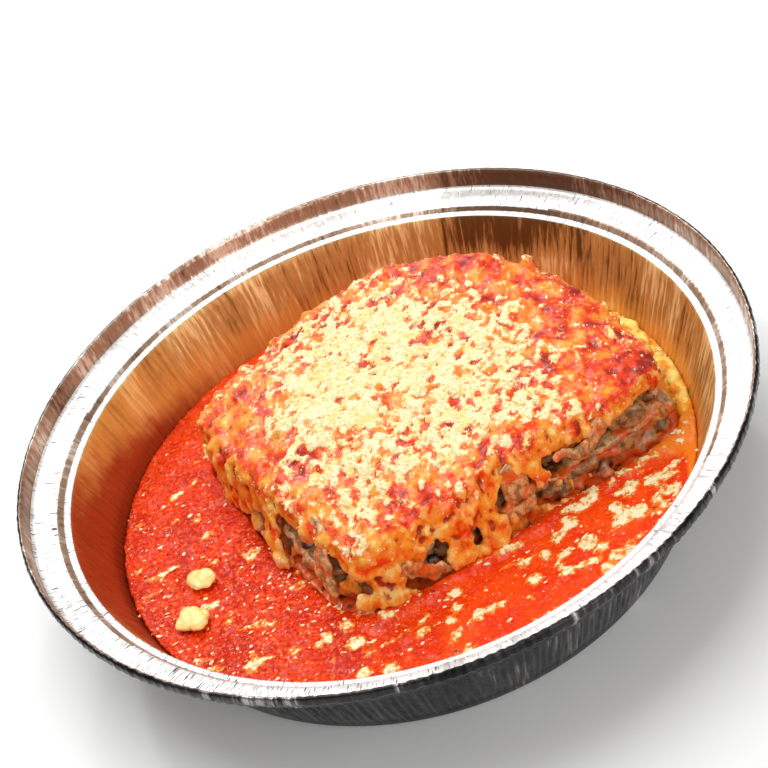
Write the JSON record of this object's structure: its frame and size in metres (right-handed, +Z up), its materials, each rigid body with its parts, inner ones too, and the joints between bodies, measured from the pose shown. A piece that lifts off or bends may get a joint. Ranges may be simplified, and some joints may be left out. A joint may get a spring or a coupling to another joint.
{
  "type": "lasagne slice in foil pan",
  "caption": "Thick baked lasagne slice with melted cheese and grated cheese, in tomato sauce in a round foil take-out pan.",
  "frame": {"origin": "middle of the pan's base, on the ground under it", "axes": "+Z up; -Y towards the front, the side that the picture's camera looks from"},
  "size_m": [0.2304, 0.2304, 0.0525],
  "materials": {
    "foil": "bright rolled foil, finely pleated",
    "sauce": "wet tomato sauce, slightly grainy",
    "filling": "crumbly cooked meat and soft cheese, moist",
    "pasta": "cooked pasta stained by sauce, moist",
    "melted_cheese": "melted cheese mixed with sauce, oily",
    "grated_cheese": "dry grated hard cheese"
  },
  "bodies": {
    "root": {"foil_pan": "foil", "tomato_sauce": "sauce", "slice_base": "filling", "pasta_sheet_1": "pasta", "meat_filling_1": "filling", "pasta_sheet_2": "pasta", "meat_filling_2": "filling", "pasta_sheet_3": "pasta", "cheese_topping": "melted_cheese", "cheese_lump_1": "grated_cheese", "cheese_lump_2": "grated_cheese"}
  },
  "joints": []
}
